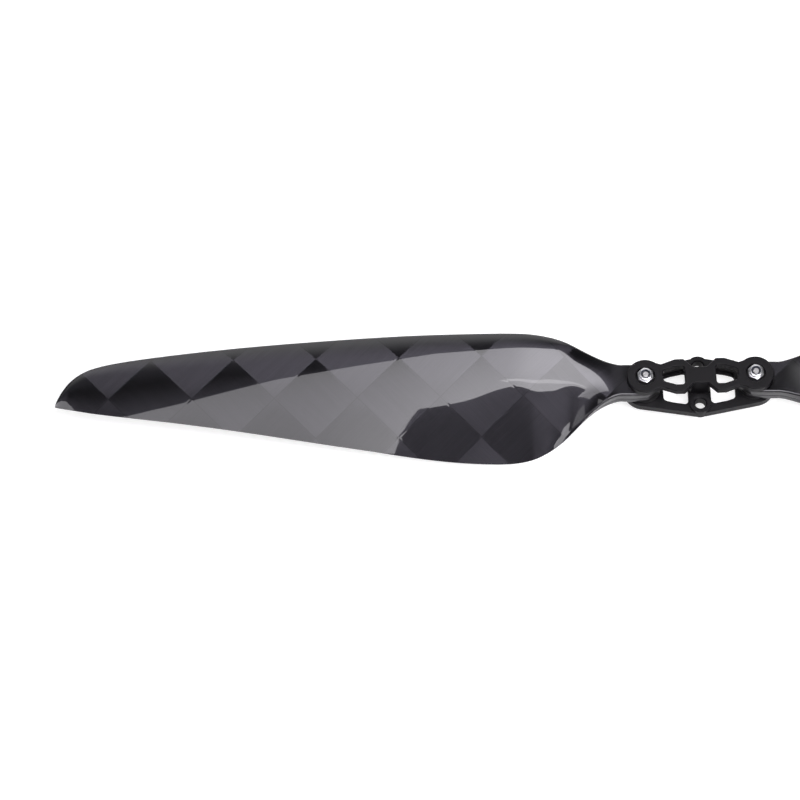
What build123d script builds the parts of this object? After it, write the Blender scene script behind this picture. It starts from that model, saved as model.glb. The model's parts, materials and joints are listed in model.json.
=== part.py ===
from build123d import *
import math
import os

# Two-blade folding propeller, 24 inch class, for a multirotor drone.
# A one-piece milled aluminium hub carries a carbon blade in the fork at each end. Each blade turns on a
# steel sleeve clamped between the fork's two ears by an M4 screw and a self-locking nut.
# Row frame: origin on the spin axis at the hub's motor face, +Z along the thrust, blades along X, millimetres.

# ---- driving dimensions ----
PIVOT = 26.0            # spin axis to each fold pivot
LEAD = 2.0              # degrees each blade root leads the hub's X axis when its centre of mass flies radial
FRAME_T = 4.0           # lower frame
GAP = 8.8               # fork opening
PLATE_T = 3.5           # upper plate
FRAME_EAR_R = 9.8
PLATE_EAR_R = 8.6
LIP_W = 1.3             # lip at the foot of the frame's windows
LIP_T = 1.0
BOSS_Y = 9.75           # motor screw bosses, each side of the spin axis
BOSS_R = 5.0
BOSS_TOP = 5.5
BOSS_HOLE_R = 2.6       # M5 clearance
PILOT_R = 3.0
PILOT_DEPTH = 5.0
SCREW_R = 2.0           # M4
SCREW_HOLE_R = 2.15
SLEEVE_R = 3.0
BUSH_BORE_R = 3.03
BUSH_R = 4.5
WASHER_T = 0.4
ROOT_T = 7.9
ROOT_HALF_W = 8.1
PITCH = 203.0           # 8 inch geometric pitch
SKIN = 0.6              # skin thickness
BLOCK_END = 48.0        # solid root block ends here, foam begins
CORE_END = 236.0

Z_PLATE = FRAME_T + GAP
Z_TOP = Z_PLATE + PLATE_T
Z_AXIS = FRAME_T + WASHER_T + 0.05 + ROOT_T / 2   # mid plane of the blade root

# distance from pivot, leading edge, trailing edge (both across the blade, in plan)
PLAN = [
    (11.0, 7.95, -7.95), (15.3, 8.75, -8.95), (20.3, 10.70, -11.30), (25.3, 13.05, -14.50),
    (29.8, 15.05, -18.00), (34.6, 16.80, -21.90), (39.3, 18.30, -25.80), (44.3, 19.65, -29.40),
    (48.8, 20.65, -32.10), (53.3, 21.35, -34.15), (58.3, 21.85, -35.45), (63.3, 22.12, -36.25),
    (72.3, 22.38, -36.90), (82.3, 22.50, -36.95), (96.3, 22.55, -36.30), (110.3, 22.35, -34.90),
    (129.3, 21.65, -32.30), (148.3, 20.60, -29.75), (167.3, 19.35, -27.00), (186.3, 17.80, -24.20),
    (205.3, 15.90, -21.60), (224.3, 13.65, -19.25), (239.3, 11.55, -17.60), (252.3, 9.25, -16.15),
    (261.8, 6.55, -14.95), (267.3, 3.45, -14.10), (271.1, 0.05, -13.55), (273.8, -3.55, -13.20),
    (275.7, -6.90, -12.95), (276.9, -9.60, -12.75), (277.5, -11.40, -12.60),
]
THICK = [(13, 7.7), (25, 7.7), (40, 7.6), (57, 7.2), (80, 6.2), (110, 5.2), (150, 4.1), (200, 3.05), (250, 2.0), (270, 1.4), (279, 0.8)]
CAMBER = [(13, 0.0), (30, 0.012), (45, 0.028), (60, 0.036), (120, 0.036), (200, 0.032), (279, 0.026)]


def hermite(table, k, x):
    """Monotone cubic through column k of a table."""
    xs = [r[0] for r in table]
    ys = [r[k] for r in table]
    n = len(xs)
    if x <= xs[0]:
        return ys[0]
    if x >= xs[-1]:
        return ys[-1]
    d = [(ys[i + 1] - ys[i]) / (xs[i + 1] - xs[i]) for i in range(n - 1)]
    m = [d[0]] + [0.0 if d[i - 1] * d[i] <= 0 else 2 * d[i - 1] * d[i] / (d[i - 1] + d[i]) for i in range(1, n - 1)] + [d[-1]]
    i = max(j for j in range(n - 1) if xs[j] <= x)
    h = xs[i + 1] - xs[i]
    s = (x - xs[i]) / h
    return (
        ys[i] * (1 + 2 * s) * (1 - s) ** 2 + m[i] * h * s * (1 - s) ** 2
        + ys[i + 1] * s * s * (3 - 2 * s) + m[i + 1] * h * s * s * (s - 1)
    )


def smooth(x, a, b):
    w = min(max((x - a) / (b - a), 0.0), 1.0)
    return w * w * (3 - 2 * w)


def twist(x):
    """Blade angle in degrees at distance x from the pivot, flat at the root."""
    r = max(x + PIVOT, 62.0)
    return math.degrees(math.atan(PITCH / (2 * math.pi * r))) * smooth(x, 13, 40)


def aerofoil(u, t, m, te):
    """Upper and lower height over chord at chord fraction u."""
    p = 0.4
    yt = 5 * t * (0.2969 * math.sqrt(u) - 0.1260 * u - 0.3516 * u**2 + 0.2843 * u**3 - 0.1036 * u**4) + te / 2 * u
    yc = m / p**2 * (2 * p * u - u * u) if u < p else m / (1 - p) ** 2 * ((1 - 2 * p) + 2 * p * u - u * u)
    return yc + yt, yc - yt


def slab(v, w, h, rc):
    """Point at fraction v along half a rounded slab, from the middle of its front face, over the top, to its back top corner."""
    parts = [h - rc, math.pi / 2 * rc, w - rc]
    cuts = (0.08, 0.20)
    if v < cuts[0]:
        return 0.0, (h - rc) * v / cuts[0]
    if v < cuts[1]:
        a = math.pi / 2 * (v - cuts[0]) / (cuts[1] - cuts[0])
        return rc - rc * math.cos(a), h - rc + rc * math.sin(a)
    return rc + parts[2] * (v - cuts[1]) / (1 - cuts[1]), h


def chord_u(v):
    """Chord fraction that goes with the same place along the half."""
    if v < 0.20:
        return 0.045 * (v / 0.20) ** 2
    s = (v - 0.20) / 0.80
    return 0.045 + 0.955 * (s + 0.30 * s * (1 - s) * (2 * s - 1) - 0.12 * s * (1 - s))


VS = [0.0, 0.04, 0.08, 0.12, 0.16, 0.20, 0.25, 0.31, 0.38, 0.46, 0.54, 0.62, 0.70, 0.78, 0.85, 0.91, 0.96, 1.0]


def station(x):
    le, te = hermite(PLAN, 1, x), hermite(PLAN, 2, x)
    b = twist(x)
    c = (le - te) / math.cos(math.radians(b))
    t = hermite(THICK, 1, x)
    return {"x": x, "le": le, "te": te, "b": b, "c": c, "t": t, "m": hermite(CAMBER, 1, x), "w": smooth(x, 13, 46)}


def half(st, v):
    """(distance behind the leading edge, upper height, lower height) in the chord's own frame."""
    c, t, w = st["c"], st["t"], st["w"]
    rc = min(1.4, t * 0.2)
    dx, dz = slab(v, c, t / 2, rc)
    u = chord_u(v)
    up, lo = aerofoil(u, t / c, st["m"], 0.55 / c)
    d = (1 - w) * dx + w * u * c
    return d, (1 - w) * dz + w * up * c, -(1 - w) * dz + w * lo * c


def place(st, d, z):
    """Chord frame to the row frame, blade along -X before its lead angle."""
    b = math.radians(st["b"])
    s = 0.4 * st["c"] - d
    yo = st["le"] - 0.4 * st["c"] * math.cos(b)
    return Vector(-PIVOT - st["x"], yo + s * math.cos(b) - z * math.sin(b), Z_AXIS + s * math.sin(b) + z * math.cos(b))


def core_lines(st):
    """Upper, lower and middle points of the space inside the skins, front to back."""
    room = [half(st, i / 240) for i in range(241)]
    room = [(d, (zu + zl) / 2, (zu - zl) / 2 - SKIN) for d, zu, zl in room]
    inside = [r for r in room if r[2] > 0.12 and 1.2 < r[0] < st["c"] - 1.2]
    a, b = inside[0][0], inside[-1][0]

    def at(d):
        for r, q in zip(room, room[1:]):
            if r[0] <= d <= q[0] and q[0] > r[0]:
                k = (d - r[0]) / (q[0] - r[0])
                return r[1] + k * (q[1] - r[1]), r[2] + k * (q[2] - r[2])
        return room[-1][1], room[-1][2]

    ds = [a + (b - a) * (0.5 - 0.5 * math.cos(math.pi * i / 12)) for i in range(13)]
    vals = [at(d) for d in ds]
    return [[place(st, d, mid + k * h) for d, (mid, h) in zip(ds, vals)] for k in (1, -1, 0)]


def core_wire(st):
    up, lo, _ = core_lines(st)
    return Wire([
        Edge.make_line(lo[0], up[0]), Edge.make_spline(up), Edge.make_line(up[-1], lo[-1]), Edge.make_spline(list(reversed(lo))),
    ])


def skin_wire(st, side):
    """One skin's section: outside, trailing edge, then back along the inside. side 1 is the upper skin, -1 the lower, wound the same way round."""
    rows = [half(st, v) for v in VS]
    outside = [place(st, d, zu if side > 0 else zl) for d, zu, zl in rows]
    d, zu, zl = rows[-1]
    tail = place(st, d, (zu + zl) / 2)
    lines = core_lines(st)
    inside, mid = lines[0 if side > 0 else 1], lines[2]
    if side > 0:
        return Wire([
            Edge.make_spline(outside), Edge.make_line(outside[-1], tail), Edge.make_line(tail, mid[-1]), Edge.make_line(mid[-1], inside[-1]),
            Edge.make_spline(list(reversed(inside))), Edge.make_line(inside[0], mid[0]), Edge.make_line(mid[0], outside[0]),
        ])
    return Wire([
        Edge.make_line(outside[0], mid[0]), Edge.make_line(mid[0], inside[0]), Edge.make_spline(inside), Edge.make_line(inside[-1], mid[-1]),
        Edge.make_line(mid[-1], tail), Edge.make_line(tail, outside[-1]), Edge.make_spline(list(reversed(outside))),
    ])


def tip_wire(st, side):
    """Half of a solid section, where the two skins close together."""
    rows = [half(st, v) for v in VS]
    outside = [place(st, d, zu if side > 0 else zl) for d, zu, zl in rows]
    mids = [place(st, d, (zu + zl) / 2) for d, zu, zl in rows]
    if side > 0:
        return Wire([Edge.make_spline(outside), Edge.make_line(outside[-1], mids[-1]), Edge.make_spline(list(reversed(mids)))])
    return Wire([Edge.make_spline(mids), Edge.make_line(mids[-1], outside[-1]), Edge.make_spline(list(reversed(outside)))])


def cyl(x, y, r, z0, z1):
    return Pos(x, y, (z0 + z1) / 2) * Cylinder(r, z1 - z0)


def root_slab(half_w, end_r, x1, z0, z1, edge):
    """Round-ended flat root about the left pivot."""
    out = extrude(Plane.XY.offset(z0) * Pos(-PIVOT, 0) * (Circle(end_r) + Pos(-x1 / 2, 0) * Rectangle(x1, 2 * half_w)), z1 - z0)
    if edge:
        lines = out.edges().filter_by(Plane.XY).filter_by(lambda e: e.center().X > -PIVOT - x1 + 0.5)
        out = fillet(lines, edge)
    return out


STATIONS = [12.0, 14, 16, 18, 20, 22.5, 25, 28, 31, 34, 37, 40, 43.5, 47, 51, 55, 60, 66, 74, 84, 96, 110, 125, 140, 155, 170, 185, 200, 213, 225, CORE_END]
TIP_STATIONS = [CORE_END, 243, 249, 254.5, 259.3, 262.8, 266.3, 269.3, 271.7, 273.7, 275.3, 276.4, 277.1, 277.5]


def blade():
    """Left blade's pieces, along -X."""
    hole = cyl(-PIVOT, 0, BUSH_R, Z_AXIS - 10, Z_AXIS + 10)
    root = root_slab(ROOT_HALF_W, ROOT_HALF_W, 13.0, Z_AXIS - ROOT_T / 2, Z_AXIS + ROOT_T / 2, 0.6)
    space = root_slab(ROOT_HALF_W - 0.9, ROOT_HALF_W - 0.9, 14.0, Z_AXIS - ROOT_T / 2 + SKIN, Z_AXIS + ROOT_T / 2 - SKIN, 0)
    skins = []
    for side in (1, -1):
        keep = Pos(-PIVOT, 0, Z_AXIS + side * 10) * Box(60, 40, 20)
        skin = (root & keep) - space
        skin = skin + Solid.make_loft([skin_wire(station(x), side) for x in STATIONS], ruled=True)
        skin = skin + Solid.make_loft([tip_wire(station(x), side) for x in TIP_STATIONS], ruled=True)
        skins.append(skin - hole)
    core = root_slab(ROOT_HALF_W - 0.9, ROOT_HALF_W - 0.9, 12.0, Z_AXIS - ROOT_T / 2 + SKIN, Z_AXIS + ROOT_T / 2 - SKIN, 0)
    core = core + Solid.make_loft([core_wire(station(x)) for x in STATIONS], ruled=True)
    cut = Pos(-PIVOT - BLOCK_END + 50, 0, Z_AXIS) * Box(100, 120, 80)
    block = (core & cut) - hole
    foam = core - cut
    bush = cyl(-PIVOT, 0, BUSH_R, Z_AXIS - ROOT_T / 2, Z_AXIS + ROOT_T / 2) - cyl(-PIVOT, 0, BUSH_BORE_R, 0, 20)
    bush = chamfer(bush.edges().filter_by(GeomType.CIRCLE).filter_by(lambda e: e.radius < 3.5), 0.3)
    return {"blade_upper_skin": skins[0], "blade_lower_skin": skins[1], "blade_root_block": block, "blade_foam_core": foam, "blade_bush": bush}


def hub():
    """One-piece frame: lower rim with two screw bosses, centre block, upper plate with two windows."""
    # lower frame outline: ears, straight rims to the bosses
    half_pts = [(-PIVOT - 2.2, 9.55), (-2.6, 14.28), (2.6, 14.28), (PIVOT + 2.2, 9.55)]
    outline = make_face(Polyline(*(half_pts + [(x, -y) for x, y in reversed(half_pts)]), close=True))
    lower2d = outline + Pos(-PIVOT, 0) * Circle(FRAME_EAR_R) + Pos(PIVOT, 0) * Circle(FRAME_EAR_R)
    lower2d = lower2d + Pos(0, BOSS_Y) * Circle(BOSS_R) + Pos(0, -BOSS_Y) * Circle(BOSS_R)
    lower = extrude(lower2d, FRAME_T)
    # windows between rims and bosses; a thin lip is left along the foot of each long side
    for s in (-1, 1):
        for inset, z0 in ((0.0, LIP_T), (LIP_W, -1.0)):
            w = make_face(Polyline((s * 17.1, 6.9 - inset), (s * 13.0, 8.2 - inset), (s * 5.3, 9.7 - inset), (s * 5.3, inset - 9.7), (s * 13.0, inset - 8.2), (s * 17.1, inset - 6.9), close=True))
            w = fillet(w.vertices(), 1.9)
            lower = lower - extrude(Plane.XY.offset(z0) * w, FRAME_T + 2.0)
    # upper plate
    up_half = [
        (-PIVOT + 2.0, 8.0), (-18.4, 6.0), (-11.6, 8.45), (-7.6, 8.45), (-3.3, 4.2), (3.3, 4.2), (7.6, 8.45), (11.6, 8.45), (18.4, 6.0), (PIVOT - 2.0, 8.0),
    ]
    plate = make_face(Polyline(*(up_half + [(x, -y) for x, y in reversed(up_half)]), close=True))
    soft = plate.vertices().filter_by(lambda v: abs(v.X) < PIVOT - 3.0)
    plate = fillet(soft, 1.1)
    plate = plate + Pos(-PIVOT, 0) * Circle(PLATE_EAR_R) + Pos(PIVOT, 0) * Circle(PLATE_EAR_R)
    for s in (-1, 1):
        w = make_face(Polyline((s * 17.6, 2.75), (s * 11.5, 4.75), (s * 7.4, 4.75), (s * 7.4, -4.75), (s * 11.5, -4.75), (s * 17.6, -2.75), close=True))
        ends = w.vertices().filter_by(lambda v: abs(v.X) > 17.0)
        w = fillet(ends, 2.0)
        w = fillet(w.vertices().filter_by(lambda v: abs(v.X) < 12.0), 1.5)
        plate = plate - w
    upper = extrude(Plane.XY.offset(Z_PLATE) * plate, PLATE_T)
    upper = chamfer(upper.edges().filter_by(lambda e: abs(e.center().Z - Z_TOP) < 1e-6), 0.35)
    upper = chamfer(upper.edges().filter_by(lambda e: abs(e.center().Z - Z_PLATE) < 1e-6), 0.2)
    block = Pos(0, 0, (FRAME_T + Z_PLATE) / 2) * Box(9.4, 8.0, GAP + 1.0)
    block = fillet(block.edges().filter_by(Axis.Z), 1.0)
    body = lower + block
    body = body + cyl(0, BOSS_Y, BOSS_R, 0, BOSS_TOP) + cyl(0, -BOSS_Y, BOSS_R, 0, BOSS_TOP)
    body = body + upper
    for y in (BOSS_Y, -BOSS_Y):
        body = body - cyl(0, y, BOSS_HOLE_R, -1, BOSS_TOP + 1)
        body = body - Pos(0, y, BOSS_TOP - 0.3) * Cone(BOSS_HOLE_R, BOSS_HOLE_R + 0.6, 0.6)
    body = body - cyl(0, 0, PILOT_R, -1, PILOT_DEPTH)
    for x in (PIVOT, -PIVOT):
        body = body - cyl(x, 0, SCREW_HOLE_R, -1, Z_TOP + 1)
        body = body - cyl(x, 0, 4.7, Z_TOP - 2.2, Z_TOP + 1)      # nut pocket
        body = body - cyl(x, 0, 4.1, -1, 2.3)                     # screw head pocket
    return body


def pivot_screw(x):
    """M4 button-head screw, head down in the frame's pocket."""
    head_r, head_h = 3.8, 2.2
    z0 = 2.3
    prof = make_face(Polyline((0, 0), (2.1, 0), (2.85, 0.3), (3.5, 1.0), (head_r, 1.7), (head_r, head_h), (SCREW_R, head_h), (SCREW_R, head_h + 15.3), (SCREW_R - 0.7, head_h + 16.0), (0, head_h + 16.0), close=True))
    body = revolve(Plane.XZ * prof, Axis.Z)
    socket = extrude(RegularPolygon(1.44, 6), 1.3)
    return Pos(x, 0, z0 - head_h) * (body - socket)


def lock_nut(x):
    """M4 self-locking nut: hexagon, round collar over the nylon ring."""
    z0 = Z_TOP - 2.2
    hexa = extrude(RegularPolygon(7.0 / 2 / math.cos(math.pi / 6), 6), 3.2)
    cone = revolve(Plane.XZ * make_face(Polyline((0, 0), (3.7, 0), (4.05, 0.35), (4.05, 2.85), (3.45, 3.2), (0, 3.2), close=True)), Axis.Z)
    hexa = hexa & cone
    collar = revolve(Plane.XZ * make_face(Polyline((0, 3.1), (3.2, 3.1), (3.2, 4.1), (3.05, 4.4), (2.6, 4.6), (0, 4.6), close=True)), Axis.Z)
    nut = hexa + collar
    nut = nut - cyl(0, 0, SCREW_R + 0.02, -1, 6)
    nut = nut - cyl(0, 0, 2.75, 3.0, 4.3) 
    nut = nut - cyl(0, 0, 2.35, 3.0, 6)
    return Pos(x, 0, z0) * Rot(0, 0, 36) * nut


def nut_insert(x):
    """Nylon ring held in the nut's collar."""
    z0 = Z_TOP - 2.2
    return Pos(x, 0, z0) * (cyl(0, 0, 2.75, 3.0, 4.3) - cyl(0, 0, SCREW_R, 2, 6))


def ring(x, ro, ri, z0, z1):
    return cyl(x, 0, ro, z0, z1) - cyl(x, 0, ri, z0 - 1, z1 + 1)


def one(shape):
    """Compound of closed solids, whatever the boolean gave."""
    solids = [s for s in shape.solids() if s.volume > 0.05]
    return solids[0] if len(solids) == 1 else Compound(children=solids)


parts = {"hub_frame": hub()}
for side, x, turn in (("left", -PIVOT, 0.0), ("right", PIVOT, 180.0)):
    spin = Rot(0, 0, turn)
    parts[side + "_pivot_screw"] = pivot_screw(x)
    parts[side + "_lock_nut"] = lock_nut(x)
    parts[side + "_nut_insert"] = nut_insert(x)
    parts[side + "_pivot_sleeve"] = ring(x, SLEEVE_R, SCREW_R + 0.1, FRAME_T, Z_PLATE)
    parts[side + "_lower_friction_washer"] = ring(x, 8.0, SLEEVE_R + 0.05, FRAME_T, FRAME_T + WASHER_T)
    parts[side + "_upper_friction_washer"] = ring(x, 8.0, SLEEVE_R + 0.05, Z_PLATE - WASHER_T, Z_PLATE)

lead = Pos(-PIVOT, 0, 0) * Rot(0, 0, -LEAD) * Pos(PIVOT, 0, 0)
for name, shape in blade().items():
    left = lead * one(shape)
    parts["left_" + name] = left
    parts["right_" + name] = Rot(0, 0, 180) * left

os.makedirs("parts", exist_ok=True)
for name, shape in parts.items():
    export_step(one(shape), os.path.join("parts", name + ".step"))
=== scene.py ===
import json
import math

import bpy
import numpy as np
from mathutils import Matrix, Vector


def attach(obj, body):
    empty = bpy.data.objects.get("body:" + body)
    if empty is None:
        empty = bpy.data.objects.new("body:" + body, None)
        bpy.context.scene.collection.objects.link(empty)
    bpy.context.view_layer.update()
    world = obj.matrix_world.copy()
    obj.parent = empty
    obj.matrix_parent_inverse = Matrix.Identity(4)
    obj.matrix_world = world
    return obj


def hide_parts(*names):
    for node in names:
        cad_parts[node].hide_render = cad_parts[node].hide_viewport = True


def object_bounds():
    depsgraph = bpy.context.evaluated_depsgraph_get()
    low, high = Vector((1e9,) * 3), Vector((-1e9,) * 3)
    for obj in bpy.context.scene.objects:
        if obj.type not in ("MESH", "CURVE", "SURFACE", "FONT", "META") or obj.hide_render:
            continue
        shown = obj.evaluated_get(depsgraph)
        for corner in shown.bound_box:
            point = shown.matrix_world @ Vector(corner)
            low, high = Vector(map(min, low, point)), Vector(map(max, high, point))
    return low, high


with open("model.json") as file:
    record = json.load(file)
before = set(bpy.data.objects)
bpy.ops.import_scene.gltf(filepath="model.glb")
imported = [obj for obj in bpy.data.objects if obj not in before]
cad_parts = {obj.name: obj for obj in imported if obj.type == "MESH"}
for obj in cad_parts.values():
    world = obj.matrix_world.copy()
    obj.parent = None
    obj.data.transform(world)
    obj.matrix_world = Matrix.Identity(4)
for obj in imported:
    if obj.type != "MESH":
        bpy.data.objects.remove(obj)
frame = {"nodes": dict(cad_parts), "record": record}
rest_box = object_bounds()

# ---------------------------------------------------------------- dimensions, millimetres, as in the CAD part
PIVOT = 26.0
LEAD = 2.0
ROOT_T = 7.9
ROOT_HALF_W = 8.1
Z_AXIS = 4.0 + 0.4 + 0.05 + ROOT_T / 2
PITCH = 203.0
SKIN = 0.6
TOW_U, TOW_V = 39.04, 38.4      # diagonals of one square of the spread-tow cloth
TOW_U0, TOW_V0 = 115.9, 10.4    # one corner of the cloth's squares
MM = 0.001

PLAN = [
    (11.0, 7.95, -7.95), (15.3, 8.75, -8.95), (20.3, 10.70, -11.30), (25.3, 13.05, -14.50),
    (29.8, 15.05, -18.00), (34.6, 16.80, -21.90), (39.3, 18.30, -25.80), (44.3, 19.65, -29.40),
    (48.8, 20.65, -32.10), (53.3, 21.35, -34.15), (58.3, 21.85, -35.45), (63.3, 22.12, -36.25),
    (72.3, 22.38, -36.90), (82.3, 22.50, -36.95), (96.3, 22.55, -36.30), (110.3, 22.35, -34.90),
    (129.3, 21.65, -32.30), (148.3, 20.60, -29.75), (167.3, 19.35, -27.00), (186.3, 17.80, -24.20),
    (205.3, 15.90, -21.60), (224.3, 13.65, -19.25), (239.3, 11.55, -17.60), (252.3, 9.25, -16.15),
    (261.8, 6.55, -14.95), (267.3, 3.45, -14.10), (271.1, 0.05, -13.55), (273.8, -3.55, -13.20),
    (275.7, -6.90, -12.95), (276.9, -9.60, -12.75), (277.5, -11.40, -12.60),
]
THICK = [(13, 7.7), (25, 7.7), (40, 7.6), (57, 7.2), (80, 6.2), (110, 5.2), (150, 4.1), (200, 3.05), (250, 2.0), (270, 1.4), (279, 0.8)]
CAMBER = [(13, 0.0), (30, 0.012), (45, 0.028), (60, 0.036), (120, 0.036), (200, 0.032), (279, 0.026)]


def hermite(rows, k, x):
    xs = np.array([r[0] for r in rows], float)
    ys = np.array([r[k] for r in rows], float)
    d = np.diff(ys) / np.diff(xs)
    m = np.zeros_like(xs)
    m[0], m[-1] = d[0], d[-1]
    for i in range(1, len(xs) - 1):
        m[i] = 0.0 if d[i - 1] * d[i] <= 0 else 2 * d[i - 1] * d[i] / (d[i - 1] + d[i])
    x = np.clip(np.asarray(x, float), xs[0], xs[-1])
    i = np.clip(np.searchsorted(xs, x, side="right") - 1, 0, len(xs) - 2)
    h = xs[i + 1] - xs[i]
    s = (x - xs[i]) / h
    return (ys[i] * (1 + 2 * s) * (1 - s) ** 2 + m[i] * h * s * (1 - s) ** 2
            + ys[i + 1] * s * s * (3 - 2 * s) + m[i + 1] * h * s * s * (s - 1))


def smooth(x, a, b):
    w = np.clip((x - a) / (b - a), 0, 1)
    return w * w * (3 - 2 * w)


def twist(x):
    return np.degrees(np.arctan(PITCH / (2 * np.pi * np.maximum(x + PIVOT, 62.0)))) * smooth(x, 13, 40)


def aerofoil(u, t, m, te):
    p = 0.4
    yt = 5 * t * (0.2969 * np.sqrt(u) - 0.1260 * u - 0.3516 * u**2 + 0.2843 * u**3 - 0.1036 * u**4) + te / 2 * u
    yc = np.where(u < p, m / p**2 * (2 * p * u - u * u), m / (1 - p) ** 2 * ((1 - 2 * p) + 2 * p * u - u * u))
    return yc + yt, yc - yt


def chord_u(v):
    s = (v - 0.2) / 0.8
    return np.where(v < 0.2, 0.045 * (v / 0.2) ** 2, 0.045 + 0.955 * (s + 0.30 * s * (1 - s) * (2 * s - 1) - 0.12 * s * (1 - s)))


def blade_grid(X, V, side):
    """Outside of one skin at distance X from the pivot and fraction V from the leading to the trailing edge, and the mid surface there."""
    b = np.radians(twist(X))
    le, te = hermite(PLAN, 1, X), hermite(PLAN, 2, X)
    end = X < 11.0
    half_w = np.where(X < 0, np.sqrt(np.maximum(ROOT_HALF_W**2 - X**2, 0.02)), ROOT_HALF_W)
    ease = smooth(X, 9.0, 13.0)
    le = np.where(X < 13.0, half_w * (1 - ease) + le * ease, le)
    te = np.where(X < 13.0, -half_w * (1 - ease) + te * ease, te)
    c = (le - te) / np.cos(b)
    t = hermite(THICK, 1, X) + (ROOT_T - 7.7) * (1 - smooth(X, 9, 15))
    m, w = hermite(CAMBER, 1, X), smooth(X, 13, 46)
    h = t / 2
    rc = np.minimum(np.minimum(0.9, t * 0.2), c * 0.45)
    a1 = np.pi / 2 * np.clip((V - 0.08) / 0.12, 0, 1)
    a2 = np.pi / 2 * np.clip((V - 0.93) / 0.07, 0, 1)
    flat = rc + (c - 2 * rc) * np.clip((V - 0.2) / 0.73, 0, 1)
    dx = np.where(V < 0.2, rc - rc * np.cos(a1), flat + rc * np.sin(a2))
    dz = np.where(V < 0.08, (h - rc) * V / 0.08, np.where(V < 0.2, h - rc + rc * np.sin(a1), h - rc + rc * np.cos(a2)))
    u = chord_u(V)
    up, lo = aerofoil(u, t / c, m, 0.55 / c)
    zu = (1 - w) * dz + w * up * c
    zl = -(1 - w) * dz + w * lo * c
    d = (1 - w) * dx + w * u * c
    mid = (zu + zl) / 2
    half_t = (zu - zl) / 2
    return {"X": X, "b": b, "c": c, "le": le, "d": d, "mid": mid, "h": half_t, "side": side}


def place(g, d, z):
    s = 0.4 * g["c"] - d
    yo = g["le"] - 0.4 * g["c"] * np.cos(g["b"])
    x = -g["X"]
    y = yo + s * np.cos(g["b"]) - z * np.sin(g["b"])
    zz = Z_AXIS + s * np.sin(g["b"]) + z * np.cos(g["b"])
    a = math.radians(-LEAD)
    return np.stack([-PIVOT + x * math.cos(a) - y * math.sin(a), x * math.sin(a) + y * math.cos(a), zz], -1), y


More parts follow.
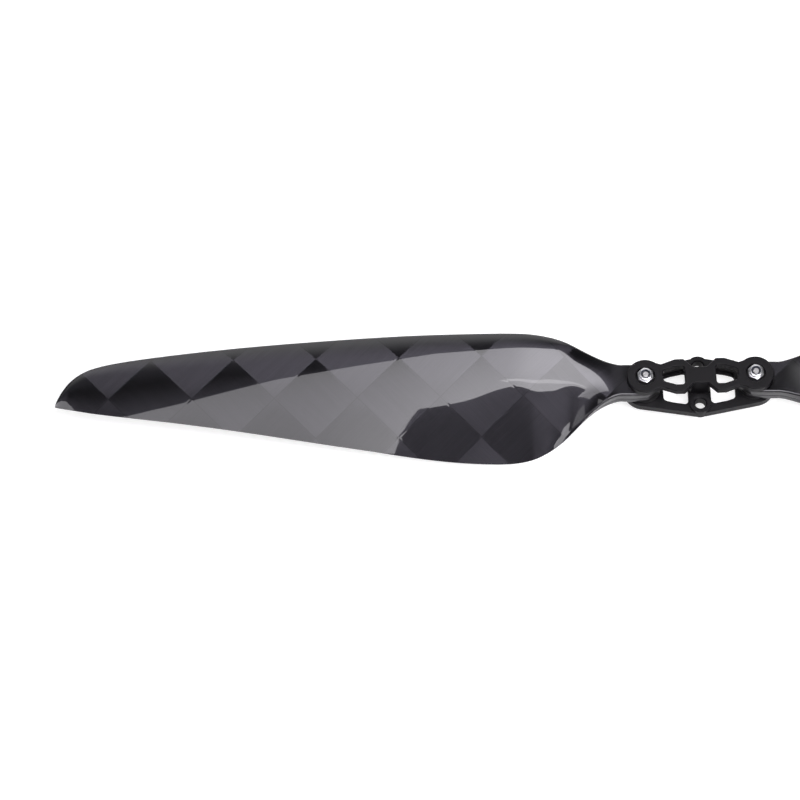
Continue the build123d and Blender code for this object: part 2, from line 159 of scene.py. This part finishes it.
def skin_mesh(name, side):
    """One carbon skin of the left blade: a closed thin shell with a fine parting groove along both edges."""
    ang = np.linspace(0, np.pi / 2, 22)
    xs = np.concatenate([-(ROOT_HALF_W - 0.002) * np.cos(ang[:-1]), np.linspace(0, 14, 22)[:-1], np.linspace(14, 70, 90)[:-1],
                         np.linspace(70, 240, 180)[:-1], np.linspace(240, 267.3, 46)[:-1], 277.5 - 10.2 * (1 - np.linspace(0, 1, 40)) ** 1.8])
    vs = np.concatenate([np.linspace(0.0, 0.2, 20)[:-1], 0.2 + 0.8 * (np.linspace(0, 1, 60)[:-1]), [0.985 + 0.015 * k for k in (0.0, 0.5, 1.0)]])
    vs = np.unique(np.round(vs, 6))
    X, V = np.meshgrid(xs, vs, indexing="ij")
    g = blade_grid(X, V, side)
    # parting groove: the outline tucks in where the skins meet
    room = np.clip(g["h"].max(axis=1, keepdims=True) / 2.0, 0.05, 1.0)
    tuck = 0.16 * room * np.clip(1 - g["h"] / (0.28 * room), 0, 1) * (V < 0.2)
    d_out = g["d"] + tuck
    out, y_plan = place(g, d_out, g["mid"] + side * g["h"])
    # trailing edge wall down to the parting line, then the inside back to the front
    tail = {k: (v[:, -1:] if isinstance(v, np.ndarray) else v) for k, v in g.items()}
    wall = []
    for f, t in ((0.75, 0.0), (0.25, 0.0), (0.0, 0.12)):
        p, _ = place(tail, tail["d"] - t * room, tail["mid"] + side * tail["h"] * f)
        wall.append(p)
    k = 24
    pick = np.linspace(len(vs) - 1, 0, k).round().astype(int)
    gi = {key: (v[:, pick] if isinstance(v, np.ndarray) else v) for key, v in g.items()}
    d_in = np.minimum(np.maximum(gi["d"], np.minimum(1.2, gi["c"] * 0.3)), gi["c"] - np.minimum(1.2, gi["c"] * 0.3))
    z_in = gi["mid"] + side * np.maximum(gi["h"] - SKIN, 0.02)
    inner, _ = place(gi, d_in, z_in)
    ring = np.concatenate([out] + wall + [inner], axis=1)
    # the mould runs smoothly out of the root, so the rows there are eased lengthways
    ease = 0.5 * (smooth(xs, 12, 18) * (1 - smooth(xs, 95, 115)))[:, None, None]
    for _ in range(46):
        ring[1:-1] += ease[1:-1] * ((ring[2:] + ring[:-2]) / 2 - ring[1:-1])
    n, m = ring.shape[:2]
    arc = np.concatenate([np.zeros((n, 1)), np.cumsum(np.linalg.norm(np.diff(out, axis=1), axis=-1), 1)], 1)
    first = np.maximum(np.argmax(y_plan < 0, axis=1), 1)
    row = np.arange(n)
    y0, y1 = y_plan[row, first - 1], y_plan[row, first]
    part = np.clip(y0 / np.maximum(y0 - y1, 1e-9), -3, 3)
    zero = arc[row, first - 1] + part * (arc[row, first] - arc[row, first - 1])
    fab = zero[:, None] - arc
    fab = np.concatenate([fab, np.repeat(fab[:, -1:], len(wall), 1), fab[:, pick]], 1)
    uv = np.stack([(np.repeat(xs[:, None], m, 1) - TOW_U0) / TOW_U, (fab - TOW_V0) / TOW_V], -1)
    co = (ring * MM).reshape(-1, 3)
    idx = np.arange(n * m).reshape(n, m)
    a, b = idx[:-1], idx[1:]
    quads = np.stack([a, np.roll(a, -1, 1), np.roll(b, -1, 1), b], -1).reshape(-1, 4)
    if side > 0:
        quads = quads[:, ::-1]
    faces = [tuple(int(i) for i in q) for q in quads]
    root_cap, tip_cap = [int(i) for i in idx[0]], [int(i) for i in idx[-1]]
    faces.append(tuple(root_cap if side > 0 else root_cap[::-1]))
    faces.append(tuple(tip_cap[::-1] if side > 0 else tip_cap))
    me = bpy.data.meshes.new(name)
    me.from_pydata([tuple(c) for c in co], [], faces)
    me.validate()
    layer = me.uv_layers.new(name="cloth")
    flat = uv.reshape(-1, 2)
    loops = np.empty(len(me.loops), np.int32)
    me.loops.foreach_get("vertex_index", loops)
    layer.data.foreach_set("uv", flat[loops].astype(np.float32).ravel())
    me.polygons.foreach_set("use_smooth", [True] * len(me.polygons))
    me.set_sharp_from_angle(angle=math.radians(34))
    obj = bpy.data.objects.new(name, me)
    bpy.context.scene.collection.objects.link(obj)
    return obj


def cylinder(name, x, r, z0, z1, n=96):
    a = np.linspace(0, 2 * np.pi, n, endpoint=False)
    ring = np.stack([x + r * np.cos(a), r * np.sin(a)], -1)
    verts = [(p[0] * MM, p[1] * MM, z0 * MM) for p in ring] + [(p[0] * MM, p[1] * MM, z1 * MM) for p in ring]
    faces = [(i, (i + 1) % n, n + (i + 1) % n, n + i) for i in range(n)] + [tuple(range(n))[::-1], tuple(range(n, 2 * n))]
    me = bpy.data.meshes.new(name)
    me.from_pydata(verts, [], faces)
    obj = bpy.data.objects.new(name, me)
    bpy.context.scene.collection.objects.link(obj)
    return obj


def bore(obj, cutter):
    """Cuts cutter out of obj and leaves a plain mesh."""
    mod = obj.modifiers.new("bore", "BOOLEAN")
    mod.operation, mod.solver, mod.object = "DIFFERENCE", "EXACT", cutter
    bpy.context.view_layer.update()
    done = bpy.data.meshes.new_from_object(obj.evaluated_get(bpy.context.evaluated_depsgraph_get()))
    obj.modifiers.clear()
    obj.data = done


def turned(obj, name):
    """The same piece for the right blade, half a turn about the spin axis."""
    copy = obj.copy()
    copy.data = obj.data.copy()
    copy.name = name
    copy.data.name = name
    copy.data.transform(Matrix.Rotation(math.pi, 4, "Z"))
    bpy.context.scene.collection.objects.link(copy)
    return copy


# ---------------------------------------------------------------- materials
class Graph:
    """Short hand for building node materials."""

    def __init__(self, tree):
        self.tree = tree
        tree.nodes.clear()

    def node(self, kind, **props):
        n = self.tree.nodes.new(kind)
        for k, v in props.items():
            setattr(n, k, v)
        return n

    def put(self, socket, value):
        if isinstance(value, bpy.types.NodeSocket):
            self.tree.links.new(value, socket)
        elif value is not None:
            socket.default_value = value

    def math(self, op, a, b=None, c=None, clamp=False):
        n = self.node("ShaderNodeMath", operation=op, use_clamp=clamp)
        for s, v in zip(n.inputs, (a, b, c)):
            self.put(s, v)
        return n.outputs[0]

    def ramp(self, x, lo, hi, a=0.0, b=1.0):
        """a below lo, b above hi, eased between."""
        n = self.node("ShaderNodeMapRange", interpolation_type="SMOOTHSTEP")
        for k, v in (("Value", x), ("From Min", lo), ("From Max", hi), ("To Min", a), ("To Max", b)):
            self.put(n.inputs[k], v)
        return n.outputs["Result"]

    def mix(self, f, a, b):
        n = self.node("ShaderNodeMix", data_type="RGBA")
        self.put(n.inputs["Factor"], f)
        self.put(n.inputs["A"], a)
        self.put(n.inputs["B"], b)
        return n.outputs["Result"]

    def xyz(self, v):
        n = self.node("ShaderNodeSeparateXYZ")
        self.put(n.inputs[0], v)
        return n.outputs

    def vec(self, x, y, z=0.0):
        n = self.node("ShaderNodeCombineXYZ")
        for s, v in zip(n.inputs, (x, y, z)):
            self.put(s, v)
        return n.outputs[0]

    def noise(self, v, scale, detail=2.0, rough=0.5):
        n = self.node("ShaderNodeTexNoise")
        self.put(n.inputs["Vector"], v)
        for k, x in (("Scale", scale), ("Detail", detail), ("Roughness", rough)):
            self.put(n.inputs[k], x)
        return n.outputs["Fac"]

    def bump(self, height, distance, strength=1.0, normal=None):
        n = self.node("ShaderNodeBump")
        self.put(n.inputs["Height"], height)
        self.put(n.inputs["Distance"], distance)
        self.put(n.inputs["Strength"], strength)
        if normal is not None:
            self.put(n.inputs["Normal"], normal)
        return n.outputs[0]


def material(name, **values):
    mat = bpy.data.materials.new(name)
    mat.use_nodes = True
    g = Graph(mat.node_tree)
    out = g.node("ShaderNodeOutputMaterial")
    bsdf = g.node("ShaderNodeBsdfPrincipled")
    g.tree.links.new(bsdf.outputs[0], out.inputs[0])
    for k, v in values.items():
        bsdf.inputs[k.replace("_", " ")].default_value = v
    return mat, g, bsdf


def carbon():
    """Spread-tow cloth laid at 45 degrees under a gloss clear coat."""
    mat, g, bsdf = material("carbon_clear_coat", Metallic=1.0, Anisotropic=1.0, Coat_Weight=1.0, Coat_Roughness=0.02, Coat_IOR=1.5)
    uv = g.node("ShaderNodeUVMap", uv_map="cloth")
    p, q, _ = g.xyz(uv.outputs[0])
    a, b = g.math("ADD", p, q), g.math("SUBTRACT", p, q)
    odd = g.math("FLOORED_MODULO", g.math("ADD", g.math("FLOOR", a), g.math("FLOOR", b)), 2.0)      # 1 where the fibres run one way
    # across and along the fibres
    across = g.math("ADD", g.math("MULTIPLY", odd, b), g.math("MULTIPLY", g.math("SUBTRACT", 1.0, odd), a))
    along = g.math("ADD", g.math("MULTIPLY", odd, a), g.math("MULTIPLY", g.math("SUBTRACT", 1.0, odd), b))
    streak = g.noise(g.vec(g.math("MULTIPLY", across, 110.0), g.math("MULTIPLY", along, 1.5), odd), 1.0, 3.0, 0.6)
    broad = g.noise(g.vec(g.math("MULTIPLY", across, 9.0), g.math("MULTIPLY", along, 0.6), odd), 1.0, 2.0, 0.5)
    # seams between tows
    da = g.math("ABSOLUTE", g.math("SUBTRACT", a, g.math("ROUND", a)))
    db = g.math("ABSOLUTE", g.math("SUBTRACT", b, g.math("ROUND", b)))
    seam = g.ramp(g.math("MINIMUM", da, db), 0.002, 0.012, 1.0, 0.0)
    tone = g.math("ADD", 0.60, g.math("ADD", g.math("MULTIPLY", streak, 0.55), g.math("MULTIPLY", broad, 0.25)))
    tone = g.math("MULTIPLY", tone, g.math("SUBTRACT", 1.0, g.math("MULTIPLY", seam, 0.25)))
    base = g.node("ShaderNodeVectorMath", operation="SCALE")
    base.inputs[0].default_value = (0.028, 0.0268, 0.0315)
    g.put(base.inputs["Scale"], tone)
    g.put(bsdf.inputs["Base Color"], base.outputs[0])
    g.put(bsdf.inputs["Roughness"], g.math("ADD", 0.31, g.math("MULTIPLY", streak, 0.08)))
    tangent = g.node("ShaderNodeTangent", direction_type="UV_MAP", uv_map="cloth")
    g.put(bsdf.inputs["Tangent"], tangent.outputs[0])
    g.put(bsdf.inputs["Anisotropic Rotation"], g.math("SUBTRACT", 0.875, g.math("MULTIPLY", odd, 0.75)))
    # the coat follows the cloth a little: a faint step at each seam
    g.put(bsdf.inputs["Coat Normal"], g.bump(g.ramp(g.math("MINIMUM", da, db), 0.0, 0.03), 0.00002, 0.12))
    return mat


def anodised():
    mat, g, bsdf = material("black_anodised", Metallic=0.0, Roughness=0.40, Specular_IOR_Level=0.20)
    geo = g.node("ShaderNodeTexCoord")
    grain = g.noise(geo.outputs["Object"], 9000.0, 2.0, 0.6)
    bevel = g.node("ShaderNodeBevel", samples=6)
    bevel.inputs["Radius"].default_value = 0.00022
    g.put(bsdf.inputs["Normal"], g.bump(grain, 0.00001, 0.35, bevel.outputs[0]))
    wide = g.noise(geo.outputs["Object"], 160.0, 3.0, 0.5)
    g.put(bsdf.inputs["Base Color"], g.mix(wide, (0.0040, 0.0036, 0.0046, 1), (0.0062, 0.0057, 0.0070, 1)))
    return mat


def metal(name, colour, rough, spread=0.06, scale=4000.0):
    mat, g, bsdf = material(name, Metallic=1.0)
    bsdf.inputs["Base Color"].default_value = (*colour, 1)
    geo = g.node("ShaderNodeTexCoord")
    n = g.noise(geo.outputs["Object"], scale, 3.0, 0.6)
    g.put(bsdf.inputs["Roughness"], g.math("ADD", rough - spread / 2, g.math("MULTIPLY", n, spread)))
    bevel = g.node("ShaderNodeBevel", samples=4)
    bevel.inputs["Radius"].default_value = 0.00012
    g.put(bsdf.inputs["Normal"], bevel.outputs[0])
    return mat


def plastic(name, colour, rough):
    mat, g, bsdf = material(name, Roughness=rough)
    bsdf.inputs["Base Color"].default_value = (*colour, 1)
    return mat


mats = {
    "carbon_clear_coat": carbon(),
    "black_anodised": anodised(),
    "zinc_steel": metal("zinc_steel", (0.60, 0.60, 0.62), 0.30),
    "screw_steel": metal("screw_steel", (0.50, 0.49, 0.50), 0.37),
    "sleeve_steel": metal("sleeve_steel", (0.52, 0.52, 0.54), 0.22),
    "nylon": plastic("nylon", (0.03, 0.035, 0.05), 0.45),
    "washer_plastic": plastic("washer_plastic", (0.02, 0.02, 0.02), 0.5),
    "moulded_root": plastic("moulded_root", (0.015, 0.015, 0.016), 0.45),
    "rigid_foam": plastic("rigid_foam", (0.55, 0.50, 0.38), 0.9),
}
for entry in frame["record"]["subparts"]:
    obj = frame["nodes"][entry["node"]]
    obj.data.materials.clear()
    obj.data.materials.append(mats[entry["material_slot"]])

# ---------------------------------------------------------------- blades
cutter = cylinder("cutter", -PIVOT, 4.5, -5, 25)
for label, side in (("upper", 1), ("lower", -1)):
    left = skin_mesh(f"left_blade_{label}_shell", side)
    bore(left, cutter)
    left.data.materials.clear()
    left.data.materials.append(mats["carbon_clear_coat"])
    right = turned(left, f"right_blade_{label}_shell")
    for obj, hand in ((left, "left"), (right, "right")):
        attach(obj, f"{hand}_blade")
        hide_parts(f"{hand}_blade_{label}_skin")
bpy.data.objects.remove(cutter)

# ---------------------------------------------------------------- studio
low = min(rest_box[0][2] if hasattr(rest_box[0], "__len__") else 0.0, 0.0)
verts = [(-6, -6, low - 0.0002), (6, -6, low - 0.0002), (6, 6, low - 0.0002), (-6, 6, low - 0.0002)]
me = bpy.data.meshes.new("floor")
me.from_pydata(verts, [], [(0, 1, 2, 3)])
floor = bpy.data.objects.new("floor", me)
bpy.context.scene.collection.objects.link(floor)
mat, g, bsdf = material("floor_white", Roughness=0.9, Specular_IOR_Level=0.1)
bsdf.inputs["Base Color"].default_value = (0.55, 0.55, 0.55, 1)
bsdf.inputs["Emission Color"].default_value = (1, 1, 1, 1)
seen = g.node("ShaderNodeLightPath").outputs["Is Camera Ray"]
g.put(bsdf.inputs["Emission Strength"], g.math("ADD", 0.15, g.math("MULTIPLY", seen, 0.55)))
floor.data.materials.append(mat)


def panel(name, corners, z, level, to=None):
    """A flat studio panel above the part, seen only in its light: evenly lit, or brighter towards one side as a softbox is; 0 is a black card."""
    me = bpy.data.meshes.new(name)
    me.from_pydata([(x, y, z) for x, y in corners], [], [tuple(range(len(corners)))])
    obj = bpy.data.objects.new(name, me)
    bpy.context.scene.collection.objects.link(obj)
    mat = bpy.data.materials.new(name)
    mat.use_nodes = True
    g = Graph(mat.node_tree)
    out = g.node("ShaderNodeOutputMaterial")
    em = g.node("ShaderNodeEmission")
    g.tree.links.new(em.outputs[0], out.inputs[0])
    em.inputs["Color"].default_value = (0.985, 0.97, 1.0, 1)
    em.inputs["Strength"].default_value = level
    if to is not None:
        x = g.xyz(g.node("ShaderNodeNewGeometry").outputs["Position"])[0]
        g.put(em.inputs["Strength"], g.ramp(x, -0.24, -0.04, level, to))
    obj.data.materials.append(mat)
    obj.visible_camera = False


panel("softbox", [(-0.17, 0.205), (-0.335, -0.115), (0.70, -1.13), (0.70, -0.26)], 0.600, 3.3, 7.1)
panel("black_card", [(-0.146, -0.147), (-0.140, -0.47), (0.85, -1.10), (0.85, -0.90)], 0.598, 0.0)
panel("strip_light", [(-0.115, -0.128), (-0.103, -0.150), (0.36, -0.500), (0.37, -0.470)], 0.597, 10.0)
panel("near_fill", [(-0.20, -0.53), (-0.20, -0.85), (0.80, -1.35), (0.80, -1.08), (0.12, -0.65)], 0.599, 4.6)
panel("left_fill", [(-0.80, -0.62), (-0.37, -0.62), (-0.37, -0.22), (-0.80, -0.22)], 0.600, 1.4)
panel("tip_fill", [(-0.575, 0.045), (-0.36, 0.045), (-0.36, 0.19), (-0.575, 0.19)], 0.600, 2.0)

world = bpy.data.worlds.new("studio")
bpy.context.scene.world = world
world.use_nodes = True
g = Graph(world.node_tree)
out = g.node("ShaderNodeOutputWorld")
bg = g.node("ShaderNodeBackground")
g.tree.links.new(bg.outputs[0], out.inputs[0])
ray = g.node("ShaderNodeTexCoord").outputs["Generated"]
wx, wy, wz = g.xyz(ray)
# a white wall behind and dark sides; the camera itself sees white all round
back_wall = g.math("MULTIPLY", g.ramp(wy, 0.35, 0.75), g.math("MULTIPLY", g.ramp(wx, -0.50, -0.25), g.ramp(wx, 0.30, 0.60, 1.0, 0.0)))
walls = g.math("ADD", 0.03, g.math("MULTIPLY", back_wall, 1.3))
shown = g.node("ShaderNodeLightPath").outputs["Is Camera Ray"]
level = g.math("ADD", g.math("MULTIPLY", shown, 1.05), g.math("MULTIPLY", g.math("SUBTRACT", 1.0, shown), walls))
bg.inputs["Color"].default_value = (1, 1, 1, 1)
g.put(bg.inputs["Strength"], level)

# ---------------------------------------------------------------- camera
el, az, dist = math.radians(64), math.radians(-2), 2.0
right = Vector((math.cos(az), math.sin(az), 0))
ahead = Vector((-math.sin(az), math.cos(az), 0))
up = ahead * math.sin(el) + Vector((0, 0, 1)) * math.cos(el)
back = -ahead * math.cos(el) + Vector((0, 0, 1)) * math.sin(el)
target = right * -0.1413 + up * -0.0050
cam_data = bpy.data.cameras.new("camera")
cam_data.lens, cam_data.sensor_width = 190.07, 36.0
cam_data.clip_start, cam_data.clip_end = 0.05, 50
cam = bpy.data.objects.new("camera", cam_data)
bpy.context.scene.collection.objects.link(cam)
cam.matrix_world = Matrix.Translation(target + back * dist) @ Matrix((right, up, back)).transposed().to_4x4()
bpy.context.scene.camera = cam
scene = bpy.context.scene
scene.view_settings.view_transform = "Standard"
scene.view_settings.look = "None"
scene.view_settings.exposure = 0.0
scene.view_settings.gamma = 1.0

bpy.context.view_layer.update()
